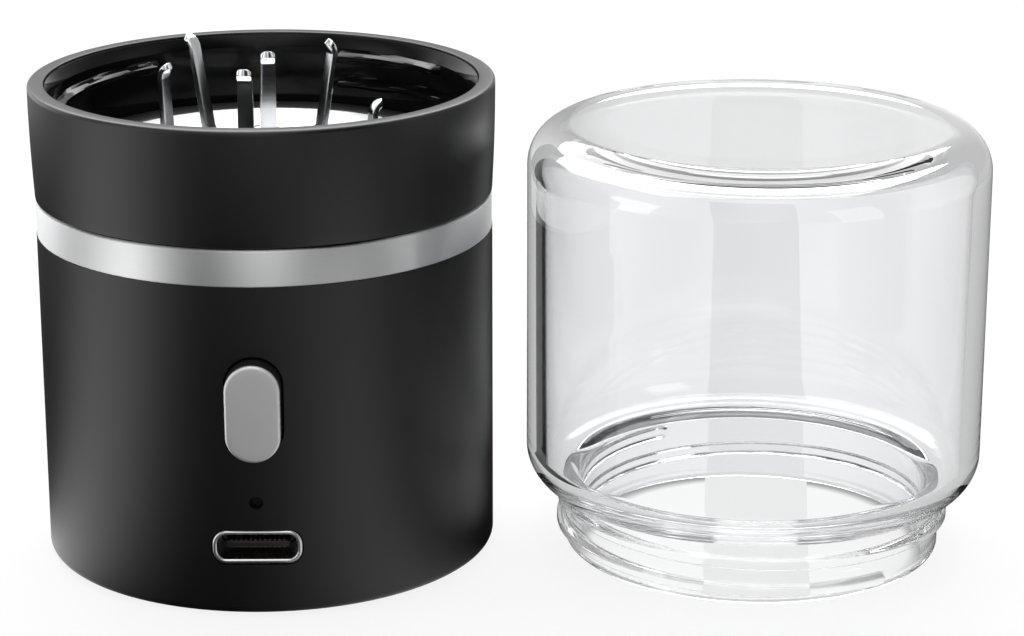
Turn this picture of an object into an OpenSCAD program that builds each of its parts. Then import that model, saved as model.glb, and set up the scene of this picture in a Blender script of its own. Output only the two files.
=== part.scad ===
// Rechargeable grinder with a threaded glass jar.
// Millimetres, +Z up. The base's axis is the Z axis and the base stands on z = 0.
// The button and the socket face -Y, and the jar stands beside the base on +X, mouth down.

/* [Base] */
// Outside diameter of the rim and of the jar, which are flush when the jar is on
rim_d = 50; // [48:0.5:54]
// Height of the rim above the table
base_h = 52.3; // [51:0.1:58]
// How far the rim stands out past the lower casing
rim_out = 0.35; // [0.1:0.05:1]
// Wall of the lower casing
case_wall = 2.0; // [1.6:0.1:2.4]
// Radius of the casing's bottom edge
edge_r = 0.8; // [0.4:0.1:1.4]
// Width of the flat lip round the bowl
lip_w = 1.75; // [1.4:0.05:2]
// Height of the flared collar, from the band's gap to the rim
collar_h = 12.2; // [11.5:0.1:14]
// Radius of the curve that flares the collar
flare_r = 206; // [150:1:400]
// Height of the metal band
band_h = 3.8; // [2:0.1:5]
// Thickness of the metal band
band_t = 0.6; // [0.4:0.05:0.9]
// Dark gap between the band and the collar
band_gap = 0.3; // [0.1:0.05:0.6]

/* [Foot] */
// Thickness of the bottom cover
cover_t = 2.0; // [1.6:0.1:3]
// Gap between the rubber foot pad and the heads of the cover's screws
pad_margin = 1.05; // [0.5:0.05:4]
// Thickness of the foot pad
pad_t = 1.1; // [0.8:0.1:1.5]
// How far the foot pad stands below the casing
pad_proud = 0.4; // [0.2:0.1:0.6]

/* [Bowl] */
// Wall of the bowl
bowl_wall = 1.0; // [0.8:0.1:1.2]
// Depth of the bowl at its centre, below the rim
bowl_depth = 9.9; // [9.5:0.1:11]
// Thickness of the bowl's floor at the centre
floor_t = 2.0; // [1.6:0.1:2.4]
// Thickness of the steel dish
dish_t = 0.5; // [0.3:0.1:0.8]
// How far the dish's edge rises above its centre
dish_rise = 1.6; // [0.8:0.1:2]
// Width of the silicone seal ring between the dish and the bowl's wall
seal_w = 3.4; // [2.6:0.1:4.2]
// Height of the silicone seal ring
seal_h = 1.7; // [1.2:0.1:2]

/* [Thread] */
// Rise of the thread in one turn
pitch = 3.0; // [2.4:0.1:3.4]
// Height of the glass bead above the neck
bead_h = 0.9; // [0.7:0.05:1]
// Width of the glass bead at its root
bead_w = 1.7; // [1.2:0.1:1.8]
// Angle that the glass bead runs through
bead_sweep = 549; // [360:3:560]
// Clearance between the bead's crest and the bowl's wall
bead_gap = 0.6; // [0.5:0.05:0.8]
// Height of the bowl's ridge above its wall
ridge_h = 1.05; // [0.7:0.05:1.1]
// Width of the bowl's ridge at its root
ridge_w = 1.3; // [0.8:0.1:1.4]

/* [Jar] */
// Height of the jar
jar_h = 47.5; // [40:0.5:90]
// Wall of the jar's body
jar_wall = 2.0; // [1.6:0.1:2.6]
// Thickness of the jar's closed end
jar_end_t = 2.5; // [2:0.1:4]
// Outside radius of the closed end's corner
jar_top_r = 4.7; // [3:0.1:6]
// Outside radius of the shoulder's corner
shoulder_r = 4.2; // [3:0.1:4.2]
// Length of the neck below the shoulder
neck_h = 7.0; // [6.6:0.1:8]
// Wall of the neck
neck_wall = 1.9; // [1.6:0.1:2.4]
// Gap between the jar and the base where they stand side by side
stand_gap = 3.4; // [1:0.1:20]
// How far the jar stands nearer the front than the base
jar_forward = 1.3; // [0:0.1:10]

/* [Button and lamp] */
// Width of the button
button_w = 5.7; // [4:0.1:7]
// Height of the button
button_h = 10.4; // [8:0.1:12]
// Height of the button's centre above the table
button_z = 23.2; // [21.5:0.1:25]
// How far the button stands out of the casing
button_out = 2.4; // [1:0.1:3]
// Travel of the button
button_travel = 0.5; // [0.3:0.1:0.7]
// Clearance round the button
button_gap = 0.25; // [0.15:0.05:0.4]
// Bevel of the button's face
button_bevel = 0.25; // [0.1:0.05:0.5]
// Diameter of the lamp's hole
lamp_d = 1.45; // [1:0.05:2]
// Height of the lamp above the table
lamp_z = 12.8; // [12:0.1:14]

/* [Socket] */
// Width of the socket's shell
usb_w = 8.94;
// Height of the socket's shell
usb_h = 3.26;
// Thickness of the shell's steel
usb_t = 0.3;
// Height of the socket's centre above the table
usb_z = 7.85; // [6.4:0.05:8.4]
// How far the mouth's lip stands out round the shell
usb_lip = 0.19; // [0:0.01:0.3]
// Clearance round the lip in the casing
usb_gap = 0.12; // [0.05:0.01:0.3]

/* [Blades] */
// Diameter of the circle that the upper blade's prongs rise from
tall_foot_d = 14.0; // [12:0.2:18]
// Heights of the upper blade's tips above the rim
tall_above_rim = [3.4, 3.9, 4.8];
// Outward lean of the upper blade's prongs, in degrees
tall_lean = 10; // [0:1:12]
// Heights of the lower blade's tips above their plate
short_rise = [4.1, 8.0, 11.6];
// Diameter of the circle that the lower blade's prongs rise from
short_foot_d = 25; // [20:0.5:26]
// Outward lean of the lower blade's prongs, in degrees
short_lean = 3; // [0:1:6]
// Width of a prong at its foot
prong_w = 1.9; // [1.6:0.1:3]
// Width of a prong at its tip
prong_tip_w = 1.5; // [1:0.1:1.6]
// Thickness of the blades' steel
blade_t = 0.7; // [0.5:0.05:0.8]
// Inside radius of the bend at a prong's foot
bend_r = 0.8; // [0.4:0.1:1.4]
// Radius of the curl at a prong's tip
curl_r = 1.6; // [1:0.1:2.4]
// Height of the lower blade above the dish's centre
blade_lift = 1.0; // [0.95:0.05:1.4]

/* [Motor] */
// Diameter of the motor
motor_d = 23.8; // [20:0.1:24.4]
// Diameter of the motor's shaft
shaft_d = 2.5; // [2:0.1:3]
// Running clearance round the shaft
shaft_gap = 0.05; // [0.02:0.01:0.09]

/* [Battery and board] */
// Width, depth and thickness of the flat cell
cell = [26, 28, 7.6];
// Width of the circuit board
board_w = 24; // [20:0.5:25]
// Height of the circuit board
board_h = 30; // [28:0.5:31]
// Thickness of the circuit board
board_t = 1.0; // [0.8:0.1:1.6]
// Distance from the casing's inside to the board's front face
board_in = 5.05; // [4.7:0.05:5.4]

/* [Hidden] */
$fn = 96;
eps = 0.05;
cut = 1;                                      // how far a cutting shape runs past a face
fit = 0.05;                                   // between pieces that are pressed or glued together
slide = 0.1;                                  // between pieces that slip together

// casing, band and collar
rim_r = rim_d / 2;
case_r = rim_r - rim_out;
case_in = case_r - case_wall;
rim_edge_r = 0.4;
collar_z = base_h - collar_h;                 // lower edge of the collar's skin
band_z = collar_z - band_gap - band_h;        // the band's lower edge, and the casing joint
band_set = 0.05;                              // how far the band lies inside the casing's surface
band_r = case_r - band_set;
band_edge = 0.15;
spigot_h = 2.8;                               // the collar's spigot inside the casing
spigot_t = 1.6;
lip_in = rim_r - lip_w;                       // inner edge of the lip
core_in = case_in - spigot_t;                 // inside of the collar's core

// cover, pad and screws
cover_z = pad_proud;
cover_top = cover_z + cover_t;
ledge = 1;                                    // step in the casing's wall that the cover stops on
pad_edge = 0.4;
screw_d = 2;
screw_head_d = 3.6;
screw_head_t = 1.2;
screw_slot = 0.5;
screw_hole = screw_d + 3 * slide;             // clearance hole and counterbore
screw_sink = screw_head_d + 3 * slide;
cover_screw_l = 5;
cover_screw_in = 3.65;                        // from the casing's inside to the screws' circle
cover_screw_r = case_in - cover_screw_in;
cover_screw_a = [90, 210, 330];
pad_r = cover_screw_r - screw_sink / 2 - pad_margin;
boss_d = 5;
boss_h = 7;
web_t = 3;                                    // web from a screw boss to the casing's wall

// bowl, dish and seals
bowl_set = 0.25;                              // how far the bowl's edge lies below the lip
bowl_r = lip_in - fit - bowl_wall;            // inside of the bowl's wall
bowl_top = base_h - bowl_set;
mouth_flare = 0.9;
mouth_flare_h = 1.1;
dish_r = bowl_r - seal_w - fit - fit - slide;
dish_ball = (dish_r * dish_r + dish_rise * dish_rise) / (2 * dish_rise);
floor_z = base_h - bowl_depth;                // top of the floor at the centre, under the dish
floor_under = floor_z - floor_t;
dish_edge_z = floor_z + dish_rise;
seal_step = 0.4;                              // step that the seal lies on, above the floor's centre
seal_seat_z = floor_z + seal_step;
seal_top = seal_seat_z + seal_h;
seal_edge = 0.3;
boss_r = 3.6;                                 // hole in the dish for the shaft seal
pocket_r = boss_r - 2 * slide;                // pocket under it in the floor
pocket_h = 1;
shaft_hole_r = shaft_d / 2 + 0.9;             // hole in the floor round the shaft

// jar and threads
jar_r = rim_r;
jar_x = rim_r + stand_gap + jar_r;
neck_r = bowl_r - bead_gap - bead_h;
neck_in = neck_r - neck_wall;
neck_lip = 0.8;
neck_ease = 0.6;                              // chamfer where the neck's bore meets the shoulder
shoulder = min(shoulder_r, jar_r - neck_r);
shoulder_z = neck_h + shoulder;               // where the shoulder's curve meets the body
thread_sink = 0.25;                           // how deep a thread is rooted in its wall
bead_top_a = 117;                             // where the bead starts, high up on the neck
bead_top_z = neck_h - 1.0;
ridge_a = 33;                                 // where the bowl's upper ridge starts
ridge_top_z = base_h - 2.05;
ridges = [[0, 37], [94.6, 302.4]];            // start and length of each ridge along the thread

// circuit board and what stands on it
board_y = case_in - board_in;                 // front face of the board
rail_z = cover_top + 1.4;
rail_w = 3;
rail_grip = 1;                                // how far a rail reaches over the board's edge
rail_back = 1.5;
rail_short = 4;
part_t = 1.2;
chip_a = [-8, 21, 4, 5];                      // X, Z, width and height of each chip
chip_b = [3, 22, 5, 4];
chip_c = [-2, 27, 3, 2];
chip_d = [6, 28, 2, 1.2];
chip_e = [-8, 28, 2, 1.2];

// button, switch and lamp
button_face = case_r + button_out;
guide_t = 0.6;                                // thickness of the pad behind the button's hole
guide_side = 2.1;
button_pad_y = case_in - guide_t;             // flat face inside the casing, behind the wall
button_play = 0.3;                            // the flange's rest position behind that face
flange_y = button_pad_y - button_play;
flange_t = 0.8;
flange_side = 1.0;
switch_w = 6;
switch_gap = 0.65;                            // behind the flange when the button is pressed
switch_y = flange_y - flange_t - button_travel - switch_gap;    // front of the switch
plunger_r = 1.75;
plunger_in = 0.8;                             // how far the plunger reaches into the switch
plunger_end_gap = 0.2;
lamp_w = 1.6;
lamp_h = 0.8;
lamp_set = 0.8;                               // how far the light pipe ends below the surface

// socket
usb_mouth_y = case_r - 0.2;
usb_corner = 1.3;
usb_lip_t = 0.4;
usb_back = 0.8;
usb_out = usb_lip + usb_gap;                  // from the shell to the edge of its hole
tongue_base = 1;
tongue_in = 0.9;                              // the tongue's end, inside the mouth
tongue_w = 6.69;
tongue_t = 0.7;
contact_n = 12;
contact_pitch = 0.5;
contact_w = 0.24;
contact_t = 0.06;
contact_l = 2.8;
contact_in = 1.1;

// cell and chassis
cell_rib_w = 2;
cell_rib_h = 1.2;
cell_r = 1.5;
cell_z = cover_top + cell_rib_h;
cell_top = cell_z + cell[2];
cell_side = 0.2;
lead_d = 1.1;
lead_x = 3;
lead_drop = 2;
plate_z = cell_top + 0.3;                     // chassis plate between the cell and the motor
plate_t = 1.6;
cup_h = 5;
cup_t = 1.2;
leg_t = 1.6;
leg_w = [8, 4];
plate_front = board_y - board_t - 2;

// motor
motor_r = motor_d / 2;
cup_in = motor_r + 0.15;
mount_t = 2.0;
mount_r = core_in - 3.05;
mount_z = floor_under - mount_t;
mount_screw_r = mount_r - 3;
mount_screw_a = [30, 150, 270];
mount_screw_l = 2.2;
motor_screw_l = 1.5;
motor_screw_r = 8;
motor_screw_a = [0, 180];
motor_base = plate_z + plate_t;
motor_top = mount_z;
end_cap_h = 4.0;
end_cap_floor = 1.6;
brush_w = 2;
brush_t = 0.4;
brush_h = 4.4;
brush_l = 6;
cap_spigot = 1;
lug = [1.8, 3, 1.6];
lug_x = 4;
lug_out = 0.5;
lug_z = motor_base + end_cap_floor + brush_t;
can_wall = 0.8;
can_nose_h = 1.6;
magnet_t = 2.6;
magnet_gap = 0.4;
magnet_slot = 6;
bush_r = 3.0;
bush_h = 1.6;
shaft_foot = 0.2;
core_z = motor_base + 8.5;
core_h = 9.0;
core_hub_r = 3;
armature_r = motor_r - can_wall - fit - magnet_t - magnet_gap;
arm_a = [0, 120, 240];
arm_w = 2.4;
shoe_t = 1.2;
coil_t = 0.85;
coil_end = 1.2;
commutator_r = 2.6;
commutator_z = motor_base + 2.2;

// blade set
hub_rise = 0.35;                              // gap between the hub and the shaft seal
hub_z = floor_z + dish_t + hub_rise;
plate_low = floor_z + dish_t + blade_lift;    // underside of the lower blade
spacer_t = 0.2;
spacer_r = 2.6;
plate_high = plate_low + blade_t + spacer_t;  // underside of the upper blade
hub_r = 2.6;
spigot_r = 1.6;
nut_w = 4;
nut_h = 1.4;
nut_cap = 0.5;                                // thickness of the nut's closed top
nut_crown = 4.4;
spigot_top = plate_high + blade_t;
shaft_top = spigot_top + nut_h - nut_cap;
star_r = 2.9;
tall_rise = [for (h = tall_above_rim) base_h + h - plate_high - blade_t];
tall_a = [29, 152, 278];
short_a = [22, 151, 266];

// Points of an arc about [x, y] from angle a to angle b
function arc(x, y, r, a, b, n = 8) =
    [for (i = [0:n]) let (t = a + (b - a) * i / n) [x + r * cos(t), y + r * sin(t)]];

// Outside radius of the collar at height z: upright at the rim, flaring in below it
function flare(z) = rim_r - flare_r + sqrt(flare_r * flare_r - pow(base_h - z, 2));

// Turns a drawing in X and Z to face the front, and stands it at depth y before the axis
module front(y, z = 0) translate([0, -y, z]) rotate([90, 0, 0]) children();

// A copy at each of the angles, on a circle of radius r
module around(angles, r = 0) for (a = angles) rotate(a) translate([r, 0, 0]) children();

// A cylinder from height a to height b
module rod(r, a, b) translate([0, 0, a]) cylinder(r = r, h = b - a);

module ring(r_out, r_in, h) difference() {
    cylinder(r = r_out, h = h);
    rod(r_in, -cut, h + cut);
}

// A block whose lower face is centred in X and Y on the origin of the children's frame
module block(w, d, h) translate([-w / 2, -d / 2, 0]) cube([w, d, h]);

module pill_2d(w, h) {
    square([w, h - w], center = true);
    for (s = [-1, 1]) translate([0, s * (h - w) / 2]) circle(d = w);
}

module slot_2d(w, h, r) {
    square([w - 2 * r, h], center = true);
    square([w, h - 2 * r], center = true);
    for (sx = [-1, 1], sy = [-1, 1]) translate([sx * (w / 2 - r), sy * (h / 2 - r)]) circle(r = r);
}

// A cross-recessed screw, head down
module screw(l) {
    difference() {
        cylinder(d = screw_head_d, h = screw_head_t);
        for (a = [0, 90]) rotate(a) translate([0, 0, -cut])
            block(0.7 * screw_head_d, screw_slot, cut + 0.55 * screw_head_t);
    }
    rod((screw_d - slide) / 2, screw_head_t - eps, screw_head_t + l);
}

// How far a thread has risen to its full section, near its ends
function end_taper(s, length, fade) = min(1, s / fade, (length - s) / fade);

// A left-hand thread: the ridge falls as it turns anticlockwise, seen from above.
// r_root is the wall that it grows from, and rise is negative where it grows inwards.
module thread(r_root, rise, width, start_a, start_z, sweep, fade = 8, step = 9) {
    sink = rise > 0 ? -thread_sink : thread_sink;
    n = ceil(sweep / step);
    section = [for (i = [0:n]) let (
            s = sweep * i / n,
            k = end_taper(s, sweep, fade),
            z = start_z - pitch * s / 360,
            w = width / 2 * (0.55 + 0.45 * k),
            crest = width * (0.1 + 0.12 * k),
            top = sink / 2 + (rise - sink / 2) * k)
        for (p = [[sink, -w], [top, -crest], [top, crest], [sink, w]])
            [(r_root + p[0]) * cos(start_a + s), (r_root + p[0]) * sin(start_a + s), z + p[1]]];
    sides = [for (i = [0:n - 1], j = [0:3]) let (
            a = i * 4 + j, b = i * 4 + (j + 1) % 4, c = a + 4, d = b + 4)
        each (rise > 0 ? [[a, b, c], [b, d, c]] : [[a, c, b], [b, c, d]])];
    e = n * 4;
    ends = rise > 0 ? [[0, 2, 1], [0, 3, 2], [e, e + 1, e + 2], [e, e + 2, e + 3]]
        : [[0, 1, 2], [0, 2, 3], [e, e + 2, e + 1], [e, e + 3, e + 2]];
    polyhedron(section, concat(sides, ends));
}

// ---- casing ----

module lower_housing() color("#17181a") difference() {
    union() {
        rotate_extrude() polygon(concat(
            [[case_in, cover_z]],
            arc(case_r - edge_r, cover_z + edge_r, edge_r, -90, 0, 6),
            [[case_r, band_z], [case_in, band_z], [case_in, cover_top + 1.4 * ledge],
             [case_in - ledge, cover_top + ledge], [case_in - ledge, cover_top], [case_in, cover_top]]));
        button_guide();
        board_rails();
        around(cover_screw_a, cover_screw_r) {
            rod(boss_d / 2, cover_top, cover_top + boss_h);
            translate([0, -web_t / 2, cover_top])
                cube([case_in - cover_screw_r + case_wall / 2, web_t, boss_h]);
        }
    }
    front(button_pad_y - case_wall, button_z) linear_extrude(case_r)
        pill_2d(button_w + 2 * button_gap, button_h + 2 * button_gap);
    front(case_in - case_wall, lamp_z) cylinder(d = lamp_d, h = case_r);
    front(case_in - 2 * case_wall, usb_z) linear_extrude(case_r)
        slot_2d(usb_w + 2 * usb_out, usb_h + 2 * usb_out, usb_corner + usb_out);
    around(cover_screw_a, cover_screw_r) rod(screw_d / 2, cover_top - cut, cover_top + boss_h - cut);
}

// Thick pad inside the wall, with the flat that the button's flange stops on
module button_guide() intersection() {
    front(button_pad_y, button_z) linear_extrude(case_wall)
        pill_2d(button_w + 2 * guide_side, button_h + 2 * guide_side);
    rod(case_r - case_wall / 4, cover_top, band_z - ledge);
}

// Two grooved rails that hold the board's edges
module board_rails() difference() {
    rail_x = board_w / 2 - rail_grip;
    intersection() {
        for (s = [0, 1]) mirror([s, 0, 0]) translate([rail_x, -board_y - 2 * case_wall, rail_z])
            cube([rail_w, board_t + 2 * case_wall + rail_back, board_h - rail_short]);
        rod(case_r - case_wall / 4, cover_top, band_z);
    }
    translate([0, -board_y + board_t / 2, rail_z - cut])
        block(board_w + 2 * slide, board_t + 2 * slide, board_h);
}

module bottom_cover() color("#1c1d1f") difference() {
    union() {
        rod(case_in - fit, cover_z, cover_top);
        for (s = [-1, 1]) translate([s * cell[0] / 4, 0, cover_top - eps])
            block(cell_rib_w, cell[1] - 2 * cell_rib_w, cell_rib_h + eps);
    }
    rod(pad_r + slide, cover_z - cut, pad_t);
    around(cover_screw_a, cover_screw_r) {
        rod(screw_hole / 2, cover_z - cut, cover_top + cut);
        rod(screw_sink / 2, cover_z - cut, cover_z + screw_head_t);
    }
}

module foot_pad() color("#26272a") rotate_extrude() polygon(concat(
    [[0, 0]], arc(pad_r - pad_edge, pad_edge, pad_edge, -90, 0, 4), [[pad_r, pad_t], [0, pad_t]]));

module cover_screws() color("silver") around(cover_screw_a, cover_screw_r)
    translate([0, 0, cover_z]) screw(cover_screw_l);

module trim_band() color("#c9cbce") rotate_extrude() polygon([
    [band_r - band_t, band_z], [band_r - band_edge, band_z], [band_r, band_z + band_edge],
    [band_r, band_z + band_h - band_edge], [band_r - band_edge, band_z + band_h],
    [band_r - band_t, band_z + band_h]]);

module collar() color("#17181a") {
    core_r = band_r - band_t - fit;
    edge_z = base_h - rim_edge_r;
    rotate_extrude() polygon(concat(
        [[core_in, band_z - spigot_h], [case_in - fit, band_z - spigot_h], [case_in - fit, band_z],
         [core_r, band_z], [core_r, collar_z]],
        [for (i = [0:6]) let (z = collar_z + (edge_z - collar_z) * i / 6) [flare(z), z]],
        arc(rim_r - rim_edge_r, edge_z, rim_edge_r, 15, 90, 4),
        [[lip_in, base_h], [lip_in, floor_under], [core_in, floor_under]]));
}

// ---- bowl ----

module bowl() color("#0c0c0d") union() {
    difference() {
        rotate_extrude() polygon([
            [shaft_hole_r, floor_under], [lip_in - fit, floor_under], [lip_in - fit, bowl_top],
            [bowl_r + mouth_flare, bowl_top], [bowl_r, bowl_top - mouth_flare_h], [bowl_r, seal_seat_z],
            [dish_r + slide, seal_seat_z], [dish_r + slide, dish_edge_z], [pocket_r, dish_edge_z],
            [pocket_r, floor_z - pocket_h], [shaft_hole_r, floor_z - pocket_h]]);
        intersection() {
            translate([0, 0, floor_z + dish_ball]) sphere(r = dish_ball, $fn = 200);
            rod(dish_r + 5 * slide, floor_z - cut, dish_edge_z + 2 * dish_rise);
        }
        around(mount_screw_a, mount_screw_r) rod(screw_d / 2, floor_under - cut, floor_under + 0.8 * floor_t);
    }
    for (r = ridges)
        thread(bowl_r, -ridge_h, ridge_w, ridge_a + r[0], ridge_top_z - pitch * r[0] / 360, r[1]);
}

module floor_dish() color("#d7d9dc") difference() {
    intersection() {
        rod(dish_r, floor_z - cut, dish_edge_z + 2 * dish_t);
        translate([0, 0, floor_z + dish_ball]) sphere(r = dish_ball, $fn = 200);
    }
    translate([0, 0, floor_z + dish_ball + dish_t]) sphere(r = dish_ball, $fn = 200);
    rod(boss_r, floor_z - cut, dish_edge_z + 2 * dish_t);
}

module jar_seal() color("#101011") rotate_extrude() {
    in_r = dish_r + slide + fit;
    out_r = bowl_r - fit;
    polygon([[in_r, seal_seat_z], [out_r, seal_seat_z], [out_r, seal_top - seal_edge],
        [out_r - seal_edge, seal_top], [in_r + seal_edge, seal_top], [in_r, seal_top - seal_edge]]);
}

module shaft_seal() color("#1b1b1c") rotate_extrude() {
    lip_r = shaft_d / 2 + shaft_gap + 0.4 * fit;
    flange_r = pocket_r - fit;
    polygon([[lip_r, floor_z - pocket_h], [flange_r, floor_z - pocket_h],
        [flange_r, floor_z + 0.6 * dish_t], [flange_r - 0.75 * dish_t, floor_z + dish_t],
        [lip_r, floor_z + dish_t]]);
}

// ---- motor ----

module motor_mount() color("#2b2c2f") difference() {
    rod(mount_r, mount_z, floor_under);
    rod(bush_r + can_wall + slide, mount_z - cut, floor_under + cut);
    around(mount_screw_a, mount_screw_r) {
        rod(screw_hole / 2, mount_z - cut, floor_under + cut);
        rod(screw_sink / 2, mount_z - cut, mount_z + screw_head_t);
    }
    around(motor_screw_a, motor_screw_r) {
        rod(screw_hole / 2, mount_z - cut, floor_under + cut);
        rod(screw_sink / 2, floor_under - screw_head_t, floor_under + cut);
    }
}

module mount_screws() color("silver") around(mount_screw_a, mount_screw_r)
    translate([0, 0, mount_z]) screw(mount_screw_l);

module motor_screws() color("silver") around(motor_screw_a, motor_screw_r)
    translate([0, 0, floor_under]) mirror([0, 0, 1]) screw(motor_screw_l);

module motor_can() color("#9a9ca0") difference() {
    union() {
        rod(motor_r, motor_base + end_cap_h, motor_top);
        rod(bush_r + can_wall, motor_top - eps, motor_top + can_nose_h);
    }
    rod(motor_r - can_wall, motor_base, motor_top - can_wall);
    rod(bush_r + fit / 2, motor_top - 2 * can_wall, motor_top + can_nose_h + cut);
    around(motor_screw_a, motor_screw_r) rod(screw_d / 2, motor_top - 2 * can_wall, motor_top + cut);
}

module motor_magnets() color("#3a3b3e") difference() {
    out_r = motor_r - can_wall - fit;
    translate([0, 0, core_z - cut]) ring(out_r, out_r - magnet_t, core_h + 2 * cut);
    translate([0, 0, core_z - 2 * cut]) block(magnet_slot, 2 * motor_r, core_h + 4 * cut);
}

module motor_end_cap() color("#e8e4d8") difference() {
    union() {
        rod(motor_r, motor_base, motor_base + end_cap_h);
        rod(motor_r - can_wall - fit, motor_base + end_cap_h - eps, motor_base + end_cap_h + cap_spigot);
        for (s = [-1, 1]) translate([s * lug_x, -motor_r - lug_out + lug[1] / 2, lug_z])
            block(lug[0], lug[1], lug[2]);
    }
    rod(motor_r - can_wall - shoe_t, motor_base + end_cap_floor, motor_base + end_cap_h + 2 * cap_spigot);
    rod(bush_r + fit / 2, motor_base - cut, motor_base + 2 * end_cap_floor);
}

module motor_brushes() color("#b87333") for (s = [0, 1]) mirror([s, 0, 0])
    translate([commutator_r + slide, -brush_w / 2, motor_base + end_cap_floor]) {
        cube([brush_t, brush_w, brush_h]);
        cube([brush_l, brush_w, brush_t]);
    }

module shaft_bushes() color("#b08d57") for (z = [motor_base, motor_top - can_wall])
    translate([0, 0, z]) ring(bush_r, shaft_d / 2 + shaft_gap, bush_h);

module lead_pair(y, z, x) color("firebrick") for (s = [-1, 1])
    front(y, z) translate([s * x, 0, 0]) cylinder(d = lead_d, h = board_y - board_t - y);

module motor_leads() lead_pair(motor_r + lug_out, lug_z + lug[2] / 2, lug_x);

// ---- chassis, cell and board ----

module chassis() color("#33353a") difference() {
    union() {
        difference() {
            rod(core_in - 4 * slide, plate_z, plate_z + plate_t);
            translate([0, -plate_front - core_in / 2, plate_z - cut])
                block(2 * core_in, core_in, plate_t + 2 * cut);
        }
        translate([0, 0, plate_z]) ring(cup_in + cup_t, cup_in, plate_t + cup_h);
        for (s = [-1, 1]) {
            translate([s * (cell[0] / 2 + cell_side + leg_t / 2), cell[1] / 6, cover_top])
                block(leg_t, leg_w[0], plate_z - cover_top + eps);
            translate([s * cell[0] / 4, cell[1] / 2 + cell_side + leg_t / 2, cover_top])
                block(leg_w[1], leg_t, plate_z - cover_top + eps);
        }
    }
    translate([0, -cup_in, plate_z + plate_t]) block(2 * lug_x + 5 * cup_t, 4 * cup_t + lug[1], 2 * cup_h);
}

module battery_cell() color("#b9bcc2") translate([0, 0, cell_z]) linear_extrude(cell[2])
    slot_2d(cell[0], cell[1], cell_r);

module battery_leads() lead_pair(cell[1] / 2, cell_top - lead_drop, lead_x);

module circuit_board() color("#1f6b3a") translate([0, -board_y + board_t / 2, cover_top])
    block(board_w, board_t, board_h);

module board_parts() color("#2a2a2c") for (p = [chip_a, chip_b, chip_c, chip_d, chip_e])
    translate([p[0], -board_y + board_t, p[1]]) cube([p[2], part_t, p[3]]);

module usb_shell() color("#c9cbce") difference() {
    union() {
        front(board_y, usb_z) linear_extrude(usb_mouth_y - board_y) slot_2d(usb_w, usb_h, usb_corner);
        front(usb_mouth_y - usb_lip_t, usb_z) linear_extrude(usb_lip_t)
            slot_2d(usb_w + 2 * usb_lip, usb_h + 2 * usb_lip, usb_corner + usb_lip);
    }
    front(board_y + usb_back, usb_z) linear_extrude(case_r)
        slot_2d(usb_w - 2 * usb_t, usb_h - 2 * usb_t - 2 * fit, usb_corner - usb_t);
}

module usb_tongue() color("#0f0f10") {
    front(board_y + usb_back, usb_z) linear_extrude(tongue_base)
        slot_2d(usb_w - 2 * usb_t - 2 * fit, usb_h - 2 * usb_t - 4 * fit, usb_corner - usb_t);
    front(board_y + usb_back + tongue_base - eps, usb_z)
        linear_extrude(usb_mouth_y - tongue_in - board_y - usb_back - tongue_base)
            square([tongue_w, tongue_t], center = true);
}

module usb_contacts() color("gold") for (s = [-1, 1], i = [0:contact_n - 1])
    translate([(i - (contact_n - 1) / 2) * contact_pitch, -usb_mouth_y + contact_in + contact_l / 2,
        usb_z + (s > 0 ? tongue_t / 2 : -tongue_t / 2 - contact_t)]) block(contact_w, contact_l, contact_t);

module switch_body() color("#55575b") difference() {
    front(board_y, button_z) linear_extrude(switch_y - board_y) square([switch_w, switch_w], center = true);
    front(switch_y - plunger_in - button_travel - plunger_end_gap, button_z)
        cylinder(r = plunger_r + fit, h = plunger_in + button_travel + cut);
}

module lamp_chip() color("ivory") front(board_y, lamp_z) linear_extrude(lamp_set)
    square([lamp_w, lamp_h], center = true);

module light_pipe() color("#dfe6ea") front(board_y + lamp_set, lamp_z)
    cylinder(d = lamp_d - slide, h = case_r - board_y - 2 * lamp_set);

// ---- blade set ----

module motor_shaft() color("#c4c6ca") rod(shaft_d / 2, motor_base + shaft_foot, shaft_top);

module armature_core() color("#8d8f94") translate([0, 0, core_z]) difference() {
    union() {
        cylinder(r = core_hub_r, h = core_h);
        around(arm_a) {
            intersection() {
                ring(armature_r, armature_r - shoe_t, core_h);
                rotate(-48) translate([0, 0, -cut]) linear_extrude(core_h + 2 * cut)
                    polygon([for (a = [0, 48, 96]) 2 * armature_r * [cos(a), sin(a)], [0, 0]]);
            }
            translate([0, -arm_w / 2, 0]) cube([armature_r - shoe_t / 2, arm_w, core_h]);
        }
    }
    rod(shaft_d / 2, -cut, core_h + cut);
}

module armature_windings() color("#b5562b") around(arm_a) difference() {
    coil_from = core_hub_r + 4 * slide;
    coil_to = armature_r - shoe_t - 4 * slide;
    translate([(coil_from + coil_to) / 2, 0, core_z - coil_end])
        block(coil_to - coil_from, arm_w + 2 * coil_t + slide, core_h + 2 * coil_end);
    translate([(coil_from + coil_to) / 2, 0, core_z - eps])
        block(2 * armature_r, arm_w + slide, core_h + 2 * eps);
}

module commutator() color("#b87333") translate([0, 0, commutator_z])
    ring(commutator_r, shaft_d / 2, core_z - coil_end - slide - commutator_z);

module blade_hub() color("#c8a45a") difference() {
    union() {
        rod(hub_r, hub_z, plate_low);
        rod(spigot_r, plate_low - eps, spigot_top);
    }
    rod(shaft_d / 2, hub_z - cut, spigot_top + cut);
}

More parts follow.
